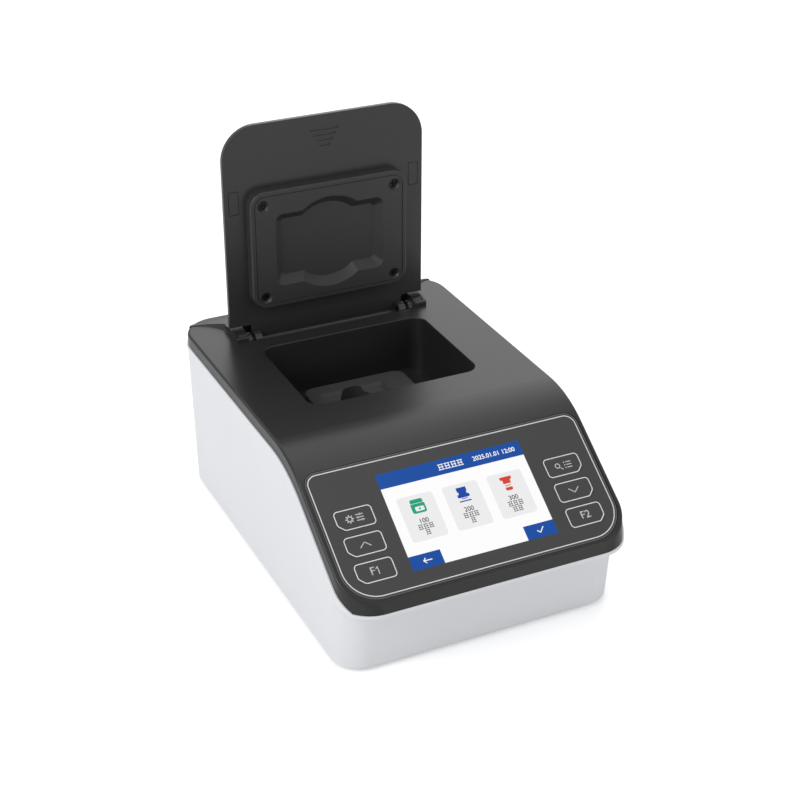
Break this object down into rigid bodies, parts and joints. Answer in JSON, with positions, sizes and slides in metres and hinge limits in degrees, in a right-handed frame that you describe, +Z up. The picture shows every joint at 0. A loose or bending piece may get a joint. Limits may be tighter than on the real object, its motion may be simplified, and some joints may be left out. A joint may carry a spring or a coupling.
{
  "type": "bench chemical oxygen demand photometer",
  "caption": "Bench photometer for sample tubes: white housing, dark cover with a sloping screen and key panel, and a tube bay under a hinged lid that stands open.",
  "frame": {"origin": "bottom centre of the bounding box, on the table under the middle of the case", "axes": "+Z up, +Y towards the back of the instrument (the hinge side), +X to the user's right"},
  "size_m": [0.1464, 0.2184, 0.1981],
  "materials": {
    "housing": "satin moulded shell, cool light grey-white",
    "cover": "satin moulded shell, dark grey",
    "bay": "matt black, light-tight",
    "overlay": "satin film with thin silver lines",
    "key": "satin film key with a thin silver outline",
    "screen": "lit colour screen behind a clear sheet",
    "lens": "clear polished",
    "lamp": "clear epoxy",
    "electronics": "moulded component",
    "circuit_board": "green solder mask",
    "magnet": "nickel plated",
    "steel": "zinc plated",
    "black_steel": "black oxide",
    "brass": "bright",
    "rubber": "moulded",
    "switch": "moulded black",
    "port_tongue": "moulded blue"
  },
  "bodies": {
    "case": {"base_housing": "housing", "top_cover": "cover", "measuring_bay": "bay", "tube_adapter": "bay", "optical_block": "bay", "lamp_lens": "lens", "detector_lens": "lens", "lamp": "lamp", "photodiode": "electronics", "lamp_board": "circuit_board", "detector_board": "circuit_board", "cover_magnets": "magnet", "hinge_pins": "black_steel", "hinge_collars": "cover", "panel_overlay": "overlay", "display_window": "screen", "display_module": "electronics", "display_bracket": "steel", "bracket_screws": "steel", "keypad_boards": "circuit_board", "dome_switches": "steel", "keypad_screws": "steel", "main_board": "circuit_board", "board_screws": "steel", "board_components": "electronics", "case_screws": "steel", "rubber_feet": "rubber", "power_switch_bezel": "switch", "power_socket": "switch", "power_socket_pin": "brass", "data_port": "steel", "data_port_tongue": "port_tongue"},
    "lid": {"lid_shell": "cover", "lid_magnet_covers": "cover", "lid_magnets": "magnet", "lid_pad": "cover", "lid_pad_screws": "black_steel"},
    "key_f_one": {"key_f_one": "key"},
    "key_up": {"key_up": "key"},
    "key_settings": {"key_settings": "key"},
    "key_f_two": {"key_f_two": "key"},
    "key_down": {"key_down": "key"},
    "key_list": {"key_list": "key"},
    "power_rocker": {"power_rocker": "switch"}
  },
  "joints": [
    {"name": "lid_hinge", "type": "hinge", "parent": "case", "child": "lid", "pos_m": [0, 0.0792, 0.0849], "axis": [1, 0, 0], "range_deg": [0, 90]},
    {"name": "key_f_one_press", "type": "slide", "parent": "case", "child": "key_f_one", "axis": [0, 0.5557, -0.8314], "range_m": [0, 0.0004], "stiffness_N_per_m": 300, "springref_m": -0.002},
    {"name": "key_up_press", "type": "slide", "parent": "case", "child": "key_up", "axis": [0, 0.5557, -0.8314], "range_m": [0, 0.0004], "stiffness_N_per_m": 300, "springref_m": -0.002},
    {"name": "key_settings_press", "type": "slide", "parent": "case", "child": "key_settings", "axis": [0, 0.5557, -0.8314], "range_m": [0, 0.0004], "stiffness_N_per_m": 300, "springref_m": -0.002},
    {"name": "key_f_two_press", "type": "slide", "parent": "case", "child": "key_f_two", "axis": [0, 0.5557, -0.8314], "range_m": [0, 0.0004], "stiffness_N_per_m": 300, "springref_m": -0.002},
    {"name": "key_down_press", "type": "slide", "parent": "case", "child": "key_down", "axis": [0, 0.5557, -0.8314], "range_m": [0, 0.0004], "stiffness_N_per_m": 300, "springref_m": -0.002},
    {"name": "key_list_press", "type": "slide", "parent": "case", "child": "key_list", "axis": [0, 0.5557, -0.8314], "range_m": [0, 0.0004], "stiffness_N_per_m": 300, "springref_m": -0.002},
    {"name": "power_rocker_tilt", "type": "hinge", "parent": "case", "child": "power_rocker", "pos_m": [-0.044, 0.1044, 0.027], "axis": [0, 0, 1], "range_deg": [0, 14]}
  ]
}
